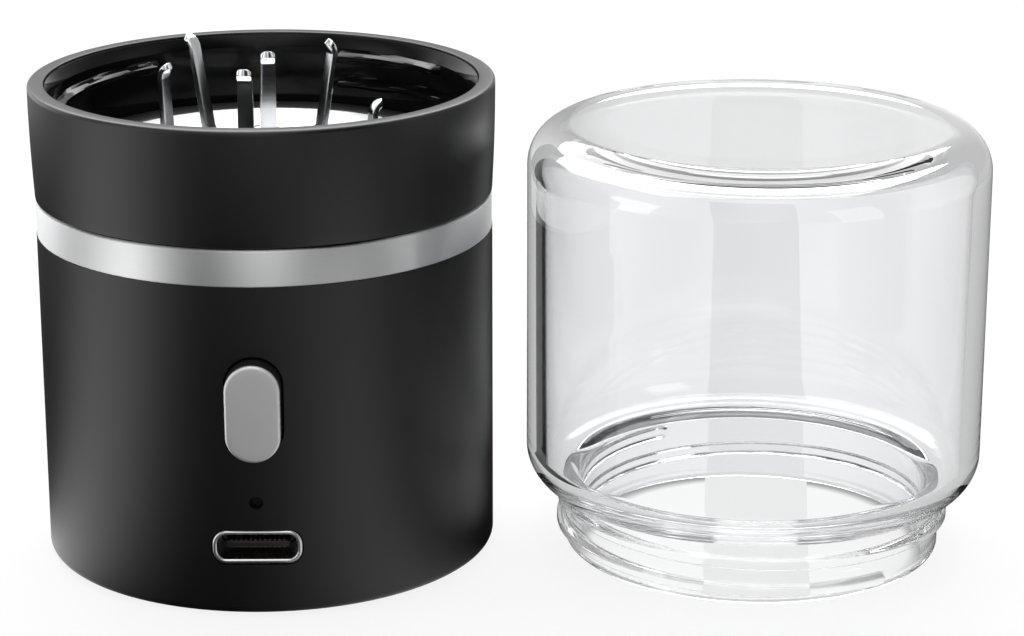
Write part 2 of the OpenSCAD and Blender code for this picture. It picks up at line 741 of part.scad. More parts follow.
// Centre line of an arm and its prong, in radius and height above the plate's mid plane:
// along the plate, round the bend, up the leaning prong and over the curl at its tip.
function prong_path(foot_r, rise, lean, curl, side) = let (
        r = bend_r + blade_t / 2,
        foot = [foot_r - r, r],
        up = foot + r * [cos(lean), -sin(lean)],
        curl_rise = side * curl_r * (sin(lean + side * curl) - sin(lean)),
        straight = (rise - up[1] - curl_rise) / cos(lean),
        top = up + straight * [sin(lean), cos(lean)],
        c = top + side * curl_r * [cos(lean), -sin(lean)])
    concat([[hub_r / 4, 0]],
        [for (i = [0:5]) foot + r * [sin((90 - lean) * i / 5), -cos((90 - lean) * i / 5)]],
        [for (i = [0:5]) let (t = lean + side * curl * i / 5) c + curl_r * side * [-cos(t), sin(t)]]);

// Unit vector square to a path at point i
function across(path, i) = let (
        a = path[max(0, i - 1)], b = path[min(len(path) - 1, i + 1)], d = b - a)
    [-d[1], d[0]] / norm(d);

function strip(path, t) = concat(
    [for (i = [0:len(path) - 1]) path[i] + across(path, i) * t / 2],
    [for (i = [len(path) - 1:-1:0]) path[i] - across(path, i) * t / 2]);

// One arm with its upright prong, cut from sheet to a tapered outline with a round tip
module prong_arm(foot_r, rise, lean, curl, side) intersection() {
    rotate([90, 0, 0]) linear_extrude(prong_w * 2, center = true)
        polygon(strip(prong_path(foot_r, rise, lean, curl, side), blade_t));
    rotate([90, 0, 90]) linear_extrude(rim_r) {
        foot = prong_w / 2;
        tip = prong_tip_w / 2;
        top = rise + blade_t / 2 - tip;
        polygon([[-foot, -cut - blade_t], [foot, -cut - blade_t], [foot, bend_r], [tip, top], [-tip, top],
            [-foot, bend_r]]);
        translate([0, top]) circle(r = tip);
    }
}

// A star cut from sheet: a hub plate with three prongs, bored for the hub's spigot
module star(angles, foot_r, rises, lean, curl, sides) color("#d2d4d8") difference() {
    union() {
        cylinder(r = star_r, h = blade_t);
        for (i = [0:2]) rotate(angles[i]) translate([0, 0, blade_t / 2])
            prong_arm(foot_r, rises[i], lean, curl, sides[i]);
    }
    rod(spigot_r, -cut, blade_t + cut);
}

module short_blade() translate([0, 0, plate_low])
    star(short_a, short_foot_d / 2, short_rise, short_lean, 70, [1, -1, 1]);

module blade_spacer() color("#c9cbce") translate([0, 0, plate_low + blade_t])
    ring(spacer_r, spigot_r, spacer_t);

module tall_blade() translate([0, 0, plate_high])
    star(tall_a, tall_foot_d / 2, tall_rise, tall_lean, 60, [-1, 1, 1]);

module blade_nut() color("#c9cbce") translate([0, 0, spigot_top]) difference() {
    intersection() {
        rotate(30) cylinder(r = nut_w / sqrt(3), h = nut_h, $fn = 6);
        translate([0, 0, nut_h - nut_crown + slide]) sphere(r = nut_crown);
    }
    rod(shaft_d / 2, -cut, nut_h - nut_cap);
}

// ---- button ----

module button_cap() color("#a9abae") {
    front(flange_y - flange_t, button_z) linear_extrude(flange_t)
        pill_2d(button_w + 2 * flange_side, button_h + 2 * flange_side);
    front(flange_y - eps, button_z) linear_extrude(button_face - button_bevel - flange_y + 2 * eps)
        pill_2d(button_w, button_h);
    front(button_face - button_bevel, button_z) bevelled_pill();
}

// The face's edge: a short cone at each round end, and a trapezoid between them
module bevelled_pill() {
    straight = button_h - button_w;
    r = button_w / 2;
    for (s = [-1, 1]) translate([0, s * straight / 2, 0])
        cylinder(r1 = r, r2 = r - button_bevel, h = button_bevel);
    translate([0, straight / 2, 0]) rotate([90, 0, 0]) linear_extrude(straight)
        polygon([[-r, 0], [r, 0], [r - button_bevel, button_bevel], [-r + button_bevel, button_bevel]]);
}

module switch_plunger() color("#222224") front(switch_y - plunger_in, button_z)
    cylinder(r = plunger_r, h = flange_y - flange_t - switch_y + plunger_in);

// ---- jar ----

module glass_jar() color("#dfe9ee", 0.45) translate([jar_x, -jar_forward, 0]) {
    in_r = jar_r - jar_wall;
    in_top_r = jar_top_r - jar_wall;
    in_shoulder = shoulder - jar_wall;
    in_top = jar_h - jar_end_t;
    in_neck_z = shoulder_z - in_shoulder;
    rotate_extrude() polygon(concat(
        arc(neck_in + neck_lip, neck_lip, neck_lip, 180, 270, 4),
        arc(neck_r - neck_lip, neck_lip, neck_lip, -90, 0, 4),
        [[neck_r, neck_h]],
        arc(jar_r - shoulder, shoulder_z, shoulder, -90, 0),
        arc(jar_r - jar_top_r, jar_h - jar_top_r, jar_top_r, 0, 90),
        [[0, jar_h], [0, in_top]],
        arc(in_r - in_top_r, in_top - in_top_r, in_top_r, 90, 0),
        arc(in_r - in_shoulder, shoulder_z, in_shoulder, 0, -90),
        [[neck_in + neck_ease, in_neck_z], [neck_in, in_neck_z - neck_ease]]));
    thread(neck_r, bead_h, bead_w, bead_top_a, bead_top_z, bead_sweep);
}

lower_housing();
bottom_cover();
foot_pad();
cover_screws();
trim_band();
collar();
bowl();
floor_dish();
jar_seal();
shaft_seal();
motor_mount();
mount_screws();
motor_screws();
motor_can();
motor_magnets();
motor_end_cap();
motor_brushes();
shaft_bushes();
motor_leads();
chassis();
battery_cell();
battery_leads();
circuit_board();
board_parts();
usb_shell();
usb_tongue();
usb_contacts();
switch_body();
lamp_chip();
light_pipe();
motor_shaft();
armature_core();
armature_windings();
commutator();
blade_hub();
short_blade();
blade_spacer();
tall_blade();
blade_nut();
button_cap();
switch_plunger();
glass_jar();
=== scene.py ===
"""A rechargeable grinder and its threaded glass jar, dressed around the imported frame."""

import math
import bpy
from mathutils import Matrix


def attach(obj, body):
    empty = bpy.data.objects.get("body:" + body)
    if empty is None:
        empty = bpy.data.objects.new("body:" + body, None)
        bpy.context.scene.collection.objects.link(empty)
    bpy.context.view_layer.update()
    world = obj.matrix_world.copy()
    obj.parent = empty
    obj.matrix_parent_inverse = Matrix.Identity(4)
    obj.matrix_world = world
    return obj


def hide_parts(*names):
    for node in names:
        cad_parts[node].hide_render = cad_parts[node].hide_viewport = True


bl_info = {
    "name": "Jar grinder",
    "version": (1, 0, 0),
    "blender": (4, 5, 0),
    "location": "View3D > Sidebar > Grinder",
    "description": "Builds the finishes and fine forms of a small grinder with a glass jar",
    "category": "Object",
}

import bpy
from mathutils import Vector

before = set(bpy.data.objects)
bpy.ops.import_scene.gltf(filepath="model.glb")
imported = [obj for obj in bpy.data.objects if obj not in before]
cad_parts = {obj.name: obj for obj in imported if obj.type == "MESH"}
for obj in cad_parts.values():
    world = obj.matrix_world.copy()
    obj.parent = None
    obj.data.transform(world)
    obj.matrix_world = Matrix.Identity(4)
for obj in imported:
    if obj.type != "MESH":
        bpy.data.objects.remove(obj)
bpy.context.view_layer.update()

MM = 0.001
SIDES = 192  # sides of a turned form

# sizes of the grinder, in mm as all that follow
LIP, RIM = 52.3, 25.0  # height and radius of the rim
FLARE = 206  # radius of the curve that flares the collar
FLOOR = 42.4  # top of the bowl's floor at its centre
WALL = 22.2  # inside radius of the bowl
DISH, DISH_RISE = 18.6, 1.6  # radius of the dish, and how far its edge lies above its centre
JAR_AT = (53.4, -1.3)  # the jar's axis
PITCH = 3.0  # rise of the thread in one turn


# ---- forms ----


def rounded(corners, steps=5, loop=True):
    """Outline through corners given as (x, y, radius), each corner turned into an arc."""
    out = []
    for i, (x, y, r) in enumerate(corners):
        end = not loop and i in (0, len(corners) - 1)
        if r == 0 or end:
            out.append((x, y))
            continue
        here = Vector((x, y))
        back = (Vector(corners[i - 1][:2]) - here).normalized()
        on = (Vector(corners[(i + 1) % len(corners)][:2]) - here).normalized()
        half = back.angle(on) / 2
        centre = here + (back + on).normalized() * (r / math.sin(half))
        start = here + back * (r / math.tan(half)) - centre
        turn = math.pi - 2 * half
        turn *= 1 if back.x * on.y - back.y * on.x < 0 else -1
        for k in range(steps + 1):
            a = turn * k / steps
            c, s = math.cos(a), math.sin(a)
            out.append((centre.x + start.x * c - start.y * s, centre.y + start.x * s + start.y * c))
    return out


def pill(width, height, inset=0.0, sides=64):
    """Outline of a slot with round ends, taller than it is wide."""
    r, straight = width / 2 - inset, (height - width) / 2
    out = []
    for k in range(sides):
        a = 2 * math.pi * k / sides
        out.append((r * math.cos(a), r * math.sin(a) + (straight if k <= sides / 2 else -straight)))
    return out


def slot(width, height, corner, grow=0.0, steps=8):
    """Outline of a rectangle with round corners, made larger all round by grow."""
    w, h, r = width / 2 + grow, height / 2 + grow, corner + grow
    return rounded([(w, h, r), (-w, h, r), (-w, -h, r), (w, -h, r)], steps)


def front(outline, z, depth):
    """Stands an outline in X and Z at height z, facing the front, depth before the axis."""
    return [(x, -depth, z + y) for x, y in outline]


def levels(low, high, step):
    """Heights from low to high in even steps of about step."""
    n = max(1, round((high - low) / step))
    return [low + (high - low) * k / n for k in range(n + 1)]


def ease(x):
    """Smooth step from 0 to 1."""
    x = min(max(x, 0.0), 1.0)
    return x * x * (3 - 2 * x)


class Form:
    """Points and faces of one piece, in mm, gathered shell by shell."""

    def __init__(self):
        self.points, self.faces = [], []

    def skin(self, rings, loop=False):
        """Joins closed rings of equal length, either into a loop or with both ends closed."""
        first, n = len(self.points), len(rings[0])
        for ring in rings:
            if len(ring) != n:
                raise ValueError("rings of unequal length")
            self.points += ring
        last = len(rings) - 1
        for i in range(last + 1 if loop else last):
            a, b = first + i * n, first + ((i + 1) % (last + 1)) * n
            self.faces += [(a + j, a + (j + 1) % n, b + (j + 1) % n, b + j) for j in range(n)]
        for ring, flip in () if loop else ((0, True), (last, False)):
            self.points.append(tuple(sum(p[k] for p in rings[ring]) / n for k in range(3)))
            c, a = len(self.points) - 1, first + ring * n
            for j in range(n):
                edge = (a + j, a + (j + 1) % n)
                self.faces.append((c, edge[1], edge[0]) if flip else (c, edge[0], edge[1]))
        return self

    def turn(self, profile, at=(0, 0), loop=True, sides=SIDES, radius=None):
        """A turned form. The profile is (radius, height) pairs, from the axis or as a loop.
        radius(r, z, degrees), if given, changes the radius round the form."""
        rings = []
        for r, z in profile:
            ring = []
            for k in range(sides):
                a = 360.0 * k / sides
                c, s = math.cos(math.radians(a)), math.sin(math.radians(a))
                reach = radius(r, z, a) if radius else r
                ring.append((at[0] + reach * c, at[1] + reach * s, z))
            rings.append(ring)
        return self.skin(rings, loop)

    def piece(self, name, material, body, node, slot, crease=40):
        """Makes the Blender object, rides it on its body and has it stand for its CAD node."""
        mesh = bpy.data.meshes.new(name)
        mesh.from_pydata([(x * MM, y * MM, z * MM) for x, y, z in self.points], [], self.faces)
        mesh.polygons.foreach_set("use_smooth", [True] * len(mesh.polygons))
        mesh.set_sharp_from_angle(angle=math.radians(crease))
        mesh.materials.append(material)
        obj = bpy.data.objects.new(name, mesh)
        bpy.context.scene.collection.objects.link(obj)
        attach(obj, body)
        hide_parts(node)


# ---- finishes ----


class Link:
    """One socket's output, so that shader maths reads as Python."""

    def __init__(self, nodes, socket):
        self.nodes, self.socket = nodes, socket

    def maths(self, operation, a, b=None):
        """A Math node on a and b, or on a alone."""
        values = {0: a} if b is None else {0: a, 1: b}
        return self.nodes.add("ShaderNodeMath", {"operation": operation}, values)

    def __add__(self, other):
        return self.maths("ADD", self, other)

    def __sub__(self, other):
        return self.maths("SUBTRACT", self, other)

    def __rsub__(self, other):
        return self.maths("SUBTRACT", other, self)

    def __mul__(self, other):
        return self.maths("MULTIPLY", self, other)

    def __truediv__(self, other):
        return self.maths("DIVIDE", self, other)

    def __pow__(self, other):
        return self.maths("POWER", self, other)

    __radd__, __rmul__ = __add__, __mul__

    def clamped(self, low, high):
        """0 up to low, 1 from high on, and even in between."""
        return self.nodes.add(
            "ShaderNodeMapRange", {"clamp": True}, {"Value": self, "From Min": low, "From Max": high}
        )


class Nodes:
    """The nodes of one material or world."""

    def __init__(self, owner, output="ShaderNodeOutputMaterial"):
        owner.use_nodes = True
        self.tree = owner.node_tree
        self.tree.nodes.clear()
        self.output = self.tree.nodes.new(output)

    def add(self, kind, settings=None, values=None, out=0):
        """Adds a node: its settings first, then what its sockets hold. Gives one output."""
        node = self.tree.nodes.new(kind)
        for name, value in (settings or {}).items():
            if name == "stops":
                while len(node.color_ramp.elements) < len(value):
                    node.color_ramp.elements.new(0.5)
                for stop, (place, level) in zip(node.color_ramp.elements, value):
                    stop.position, stop.color = place, (level, level, level, 1)
            else:
                setattr(node, name, value)
        for name, value in (values or {}).items():
            if isinstance(value, Link):
                self.tree.links.new(value.socket, node.inputs[name])
            else:
                node.inputs[name].default_value = value
        return Link(self, node.outputs[out])

    def place(self, scale=(1, 1, 1)):
        """The piece's own coordinates in metres, stretched."""
        own = self.add("ShaderNodeTexCoord", out="Object")
        return self.add("ShaderNodeMapping", values={"Vector": own, "Scale": scale})

    def axes(self, vector):
        """The three parts of a vector."""
        return [self.add("ShaderNodeSeparateXYZ", values={0: vector}, out=k) for k in range(3)]

    def polar(self, along, up, out):
        """Coordinates round the Z axis: angle, height and radius, each times a scale."""
        x, y, z = self.axes(self.add("ShaderNodeTexCoord", out="Object"))
        angle = x.maths("ARCTAN2", y, x)
        radius = x.maths("SQRT", x * x + y * y)
        return self.add("ShaderNodeCombineXYZ", values={0: angle * along, 1: z * up, 2: radius * out})

    def noise(self, vector, scale, detail=3.0, rough=0.5):
        return self.add(
            "ShaderNodeTexNoise",
            values={"Vector": vector, "Scale": scale, "Detail": detail, "Roughness": rough},
        )

    def blend(self, factor, a, b):
        """Mixes two colours."""
        return self.add("ShaderNodeMix", {"data_type": "RGBA"}, {0: factor, 6: a, 7: b}, out=2)

    def bump(self, height, strength, distance):
        return self.add(
            "ShaderNodeBump", values={"Height": height, "Strength": strength, "Distance": distance}
        )

    def surface(self, shader):
        self.tree.links.new(shader.socket, self.output.inputs["Surface"])


def finish(name):
    """A new material and its nodes."""
    material = bpy.data.materials.new("finish_" + name)
    return material, Nodes(material)


def shade(colour, k):
    """A colour made darker or lighter by k."""
    return tuple(min(1.0, c * k) for c in colour[:3]) + (1.0,)


def dress(material, *nodes):
    """Gives CAD nodes a finish."""
    for node in nodes:
        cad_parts[node].data.materials[0] = material


def grained(
    name, colour, rough, grain, bump, metallic=0.0, specular=0.5, spread=0.05, vary=0.12, coat=0.0, face=0
):
    """A moulded, cast or painted finish: fine grain, and slow changes of gloss and tone.
    If face is given, what lies less than that many mm before the axis is near-black and not
    metal, a painted shade for the recess it stands in, and the rest is metal."""
    material, n = finish(name)
    slow = n.noise(n.place(), 90, 2)
    fine = n.noise(n.place(), grain, 4, 0.6)
    tone = n.blend(slow * 0.6 + fine * 0.4, shade(colour, 1 - vary), shade(colour, 1 + vary))
    if face:
        _, y, _ = n.axes(n.add("ShaderNodeTexCoord", out="Object"))
        # painted shade: behind the face the colour turns near-black and not metal, standing in for the shade
        # in the recess round a button
        metallic = y.clamped(-face * MM, -(face + 0.05) * MM)
        tone = n.blend(metallic, (0.004, 0.004, 0.0045, 1), tone)
    n.surface(
        n.add(
            "ShaderNodeBsdfPrincipled",
            values={
                "Base Color": tone,
                "Metallic": metallic,
                "Specular IOR Level": specular,
                "Roughness": (slow - 0.5) * spread + (fine - 0.5) * spread + rough,
                "Coat Weight": coat,
                "Normal": n.bump(fine, 0.5, bump),
            },
        )
    )
    return material


def brushed(name, colour, rough, along, up, out, bump, spread=0.16, stretch=0.0):
    """Metal with fine lines that follow circles, whose scales set the lines' direction."""
    material, n = finish(name)
    lines = n.noise(n.polar(along, up, out), 1.0, 3, 0.65)
    slow = n.noise(n.place(), 130, 2)
    tone = n.blend(lines, shade(colour, 0.9), shade(colour, 1.06))
    n.surface(
        n.add(
            "ShaderNodeBsdfPrincipled",
            values={
                "Base Color": tone,
                "Metallic": 1.0,
                "Anisotropic": stretch,
                "Anisotropic Rotation": 0.25,
                "Roughness": (lines - 0.5) * spread + (slow - 0.5) * 0.08 + rough,
                "Normal": n.bump(lines, 0.35, bump),
            },
        )
    )
    return material


def clear(name, colour, ior, rough, wave, bump):
    """Glass or clear plastic with a faint waviness."""
    material, n = finish(name)
    waves = n.noise(n.place((1, 1, 0.5)), wave, 1)
    tint = n.blend(waves, colour, shade(colour, 0.985))
    n.surface(
        n.add(
            "ShaderNodeBsdfPrincipled",
            values={
                "Base Color": tint,
                "Transmission Weight": 1.0,
                "IOR": ior,
                "Roughness": rough,
                "Normal": n.bump(waves, 0.3, bump),
            },
        )
    )
    return material


# ---- what a user may change ----


def length(label, text, default):
    return bpy.props.FloatProperty(
        name=label, description=text, default=default * MM, min=0, unit="LENGTH", precision=5
    )


def paint(label, text, default):
    return bpy.props.FloatVectorProperty(
        name=label, description=text, default=default, size=4, min=0, max=1, subtype="COLOR"
    )


class GrinderSizes(bpy.types.PropertyGroup):
    edge: length("Edge", "Rounding of the band's edges", 0.15)
    bead: length("Bead", "Height of the glass bead above the neck", 0.9)
    ridge: length("Ridge", "Height of the bowl's ridge above its wall", 1.05)
    blade: length("Blade", "Thickness of the blades' steel", 0.7)
    grain: bpy.props.FloatProperty(
        name="Grain", description="Grain of the casing's coating, in grains per metre", default=5200, min=100
    )


class GrinderColours(bpy.types.PropertyGroup):
    casing: paint("Casing", "Soft-touch coating", (0.0020, 0.0020, 0.0023, 1))
    bowl: paint("Bowl", "Glossy plastic of the bowl", (0.0035, 0.0035, 0.0038, 1))
    band: paint("Band", "Brushed steel band", (0.90, 0.905, 0.91, 1))
    steel: paint("Steel", "Blades and dish", (0.80, 0.81, 0.82, 1))
    button: paint("Button", "Satin metal of the button", (0.80, 0.80, 0.805, 1))
    glass: paint("Glass", "Tint of the jar", (0.962, 0.966, 0.972, 1))


class Piece:
    """What the operators share."""

    bl_options = {"REGISTER", "UNDO"}

    @property
    def colours(self):
        return bpy.context.scene.grinder_colours

    @property
    def sizes(self):
        return bpy.context.scene.grinder_sizes


# ---- casing ----


def flare(z):
    """Outside radius of the collar at height z."""
    return RIM - FLARE + math.sqrt(FLARE**2 - (LIP - z) ** 2)


class GRINDER_OT_casing(Piece, bpy.types.Operator):
    """Coats the casing and makes the collar with its soft edges"""

    bl_idname = "grinder.casing"
    bl_label = "Casing"

    def execute(self, context):
        coat = grained("casing", tuple(self.colours.casing), 0.36, self.sizes.grain, 1.0e-5, spread=0.06)
        dress(coat, "lower_housing", "bottom_cover")
        core, spigot, seat, lip = 21.05, 22.6, 23.95, 23.25  # radii
        end, joint, foot, step = 33.2, 36.0, 40.1, 40.4  # heights
        side = [(flare(z), z) for z in levels(foot, LIP - 0.5, 0.975)]
        corners = [(core, end, 0.2), (spigot, end, 0.2), (spigot, joint, 0), (seat, joint, 0)]
        corners += [(seat, foot, 0), (side[0][0], foot, 0.12)] + [(r, z, 0) for r, z in side[1:]]
        corners += [(RIM, LIP, 0.4), (lip, LIP, 0.12), (lip, step, 0), (core, step, 0)]
        Form().turn(rounded(corners)).piece("collar_skin", coat, "base", "collar", slot="casing_black")
        return {"FINISHED"}


class GRINDER_OT_band(Piece, bpy.types.Operator):
    """Makes the brushed band"""

    bl_idname = "grinder.band"
    bl_label = "Band"

    def execute(self, context):
        steel = brushed("band", tuple(self.colours.band), 0.5, 14, 26000, 0, 2e-6, spread=0.1, stretch=1.0)
        edge = self.sizes.edge / MM
        inside, outside, foot, top = 24.0, 24.6, 36.0, 39.8
        outline = rounded([(inside, foot, 0), (outside, foot, edge), (outside, top, edge), (inside, top, 0)])
        Form().turn(outline).piece("band_ring", steel, "base", "trim_band", slot="band_steel")
        return {"FINISHED"}


# ---- bowl ----


def thread_rise(angle, z, radius, start, top, sweep, crest, root):
    """How far a left-hand thread has risen at one place, from 0 to 1. It starts at the angle start
    and the height top, and runs down through sweep. Crest and root are half its widths there.
    The angles are in degrees."""
    best = 0.0
    for lap in range(-1, 3):
        s = angle - start + 360 * lap
        beyond = math.radians(max(0, -s, s - sweep)) * radius
        if beyond < root:
            middle = top - PITCH * min(max(s, 0), sweep) / 360
            best = max(best, ease((root - math.hypot(z - middle, beyond)) / (root - crest)))
    return best


class GRINDER_OT_bowl(Piece, bpy.types.Operator):
    """Makes the bowl with its ridges, and the dish and seal in it"""

    bl_idname = "grinder.bowl"
    bl_label = "Bowl"

    def execute(self, context):
        colours, ridge = self.colours, self.sizes.ridge / MM
        gloss = grained("bowl", tuple(colours.bowl), 0.08, 900, 1e-6, specular=0.14, spread=0.04, vary=0.2)
        steel = brushed("dish", tuple(colours.steel), 0.3, 5, 0, 9000, 2e-6, spread=0.06, stretch=1.0)
        rubber = grained("seal", (0.006, 0.006, 0.006, 1), 0.55, 4200, 1.5e-5, spread=0.1)
        hole, bore, outside, edge = 2.15, 3.4, 23.2, 23.1  # radii
        base, shelf, brim, bevel = 40.4, 41.4, 52.05, 50.95  # heights
        seat, step = FLOOR + 0.4, FLOOR + DISH_RISE
        ball = (DISH**2 + DISH_RISE**2) / (2 * DISH_RISE)  # radius of the ball that the dish is part of

        def dish(r, lift=0.0):
            return FLOOR + ball - math.sqrt(ball**2 - r * r) + lift

        rim = [(outside, base, 0), (outside, brim, 0.1), (edge, brim, 0.05), (WALL, bevel, 0)]
        profile = [(hole, base)] + rounded(rim, 6, loop=False)[:-1]
        profile += [(WALL, z) for z in reversed(levels(seat, bevel, 0.16))]
        profile += [(DISH + 0.1, seat), (DISH + 0.1, step), (DISH, step)]
        profile += [(r, dish(r)) for r in (DISH - 0.1, 15, 11, 7, bore)]
        profile += [(bore, shelf), (hole, shelf)]

        start, high = 33, 50.25
        parts = (0, 37), (94.6, 302.4)  # where each part of the ridge starts, and its sweep

        def with_ridge(r, z, a):
            if abs(r - WALL) > 1e-6:
                return r
            up = max(
                thread_rise(a, z, WALL, start + s, high - PITCH * s / 360, sweep, crest=0.22, root=0.65)
                for s, sweep in parts
            )
            return r - ridge * up

        form = Form().turn(profile, radius=with_ridge, sides=288)
        form.piece("bowl_shell", gloss, "base", "bowl", slot="bowl_gloss")

        hub, thick = 3.6, 0.5
        radii = [hub + (DISH - hub) * k / 24 for k in range(25)]
        outline = [(r, dish(r, 0.02)) for r in radii] + [(DISH, dish(DISH, thick / 2))]
        outline += [(r, dish(r, thick)) for r in [DISH - 0.08] + radii[-2::-1]]
        Form().turn(outline).piece("steel_dish", steel, "base", "floor_dish", slot="dish_steel")
        inside, outside, top, edge = DISH + 0.15, WALL - 0.05, 44.5, 0.35
        ring = rounded([(inside, seat, 0), (outside, seat, 0), (outside, top, edge), (inside, top, edge)])
        Form().turn(ring).piece("seal_ring", rubber, "base", "jar_seal", slot="seal_rubber")
        dress(rubber, "shaft_seal")
        return {"FINISHED"}


# ---- blades ----


def prong_line(foot, rise, lean, curl, side, t, bend=0.8, curl_r=1.6):
    """Middle line of an arm and its prong: (radius, height) above the plate's middle."""
    a, c = math.radians(lean), math.radians(curl)
    r, inner = bend + t / 2, 1.8
    turn = a + side * c
    up = Vector((foot - r + r * math.cos(a), r - r * math.sin(a)))
    straight = (rise - up.y - side * curl_r * (math.sin(turn) - math.sin(a))) / math.cos(a)
    top = up + straight * Vector((math.sin(a), math.cos(a)))
    centre = top + side * curl_r * Vector((math.cos(a), -math.sin(a)))
    line = [Vector((inner + (foot - r - inner) * k / 4, 0)) for k in range(4)]
    for k in range(13):
        b = (math.pi / 2 - a) * k / 12
        line.append(Vector((foot - r + r * math.sin(b), r - r * math.cos(b))))
    line += [up + (top - up) * (k / 10) for k in range(1, 10)]
    for k in range(17):
        b = a + side * c * k / 16
        line.append(centre + curl_r * side * Vector((-math.cos(b), math.sin(b))))
    return line


class GRINDER_OT_blades(Piece, bpy.types.Operator):
    """Makes the two stamped stars with their upright prongs and the nut that holds them, and gives the hub
    its finish
    """

    bl_idname = "grinder.blades"
    bl_label = "Blades"

    def arm(self, form, z, foot, lean, curl, angle, rise, side):
        t = self.sizes.blade / MM
        line = prong_line(foot, rise, lean, curl, side, t)
        wide, narrow, low = 0.95, 0.75, 0.8  # half widths at foot and tip, and where the taper starts
        reach = [0.0]
        for a, b in zip(line, line[1:]):
            reach.append(reach[-1] + (b - a).length)
        c, s = math.cos(math.radians(angle)), math.sin(math.radians(angle))
        rings = []
        for i, p in enumerate(line):
            d = (line[min(i + 1, len(line) - 1)] - line[max(i - 1, 0)]).normalized()
            normal = Vector((-d.y, d.x))
            up = min(max((p.y - low) / (rise + t / 2 - narrow - low), 0), 1)
            half = wide + (narrow - wide) * up
            left = reach[-1] - reach[i]
            if left < narrow:  # the tip is round
                half = min(half, math.sqrt(max(narrow**2 - (narrow - left) ** 2, 0.05**2)))
            edge = min(0.16, half * 0.45)
            ring = []
            corners = [(u * half, v * t / 2, edge) for u, v in ((1, 1), (-1, 1), (-1, -1), (1, -1))]
            for x, y in rounded(corners, 3):
                q = p + normal * y
                ring.append((q.x * c - x * s, q.x * s + x * c, z + t / 2 + q.y))
            rings.append(ring)
        form.skin(rings)

    def star(self, name, node, z, foot, lean, curl, prongs):
        t, bore, plate = self.sizes.blade / MM, 1.6, 2.9
        outline = [(bore, z, 0.08), (plate, z, 0.12), (plate, z + t, 0.12), (bore, z + t, 0.08)]
        form = Form().turn(rounded(outline, 3), sides=96)
        for prong in prongs:
            self.arm(form, z, foot, lean, curl, *prong)
        form.piece(name, self.steel, "rotor", node, slot="blade_steel")

    def execute(self, context):
        colour = tuple(self.colours.steel)
        self.steel = brushed("blades", colour, 0.17, 4, 5200, 2600, 3e-6, spread=0.1)
        plain = brushed("nut", colour, 0.22, 3, 9000, 4000, 3e-6)
        low, between, high, nut = 43.9, 44.6, 44.8, 45.5  # undersides
        above = LIP - high - 0.7
        # each prong's bearing, its height, and the side to which its tip curls
        tall = (29, above + 3.4, -1), (152, above + 3.9, 1), (278, above + 4.8, 1)
        short = (22, 4.1, 1), (151, 8.0, -1), (266, 11.6, 1)
        self.star("tall_star", "tall_blade", high, foot=7.0, lean=10, curl=60, prongs=tall)
        self.star("short_star", "short_blade", low, foot=12.5, lean=3, curl=70, prongs=short)
        bore, outside, edge = 1.6, 2.6, 0.05
        washer = [(bore, between, 0), (outside, between, edge), (outside, high, edge), (bore, high, 0)]
        form = Form().turn(rounded(washer, 3), sides=96)
        form.piece("washer", plain, "rotor", "blade_spacer", slot="blade_steel")

        def hexagon(r, z, a):
            """The nut's six flats, cut by the ball of its domed top."""
            a = math.radians((a + 30) % 60 - 30)
            flat, ball, centre = 2.0, 4.4, 42.5
            domed = z > nut + 0.3
            crown = math.sqrt(max(ball**2 - (z - centre) ** 2, 0)) if domed else math.inf
            return min(flat / math.cos(a), crown) * r

        # each ring's share of the hexagon, and its height
        profile = [(0.97, nut), (1.0, nut + 0.08)] + [(1.0, z) for z in levels(nut + 0.5, nut + 1.38, 0.06)]
        form = Form().turn(profile, loop=False, sides=120, radius=hexagon)
        form.piece("nut", plain, "rotor", "blade_nut", slot="blade_steel", crease=25)
        dress(brushed("hub", (0.72, 0.52, 0.25, 1), 0.25, 3, 8000, 0, 3e-6), "blade_hub")
        dress(brushed("shaft", (0.7, 0.7, 0.71, 1), 0.2, 3, 9000, 0, 2e-6), "motor_shaft")
        return {"FINISHED"}


# ---- button, lamp and socket ----


class GRINDER_OT_button(Piece, bpy.types.Operator):
    """Makes the button's cap with its polished bevel"""

    bl_idname = "grinder.button"
    bl_label = "Button"

    def execute(self, context):
        z, w, h = 23.2, 5.7, 10.4  # height of its centre, width and height
        out, bevel, painted_shade_end = 27.05, 0.32, 26.62  # the face, its rounding, and the end of the side painted black as shade from the recess
        flange, flange_back, flange_front = 1, 20.95, 21.75  # the flange behind the casing
        # painted shade: the cap's side behind its face is coloured near-black for the shade in the recess
        # round the button
        metal = grained(
            "button", tuple(self.colours.button), 0.55, 3000, 2e-6, spread=0.06, vary=0.03, face=painted_shade_end
        )
        steps = [(flange, flange_back), (flange, flange_front), (0, flange_front + 0.01), (0, out - bevel)]
        rings = [front(pill(w + 2 * grow, h + 2 * grow), z, depth) for grow, depth in steps]
        for k in range(7):
            a = math.radians(15 * k)
            rings.append(front(pill(w, h, bevel * (1 - math.cos(a))), z, out - bevel * (1 - math.sin(a))))
        rings.append(front(pill(w, h, 0.9), z, out))
        Form().skin(rings).piece("button_face", metal, "button", "button_cap", slot="button_metal", crease=50)
        dress(grained("switch", (0.02, 0.02, 0.022, 1), 0.5, 3000, 1e-5), "switch_plunger", "switch_body")
        dress(clear("pipe", (0.75, 0.78, 0.8, 1), 1.49, 0.25, 300, 5e-6), "light_pipe")
        dress(grained("lamp", (0.7, 0.68, 0.55, 1), 0.4, 2000, 1e-5), "lamp_chip")
        return {"FINISHED"}


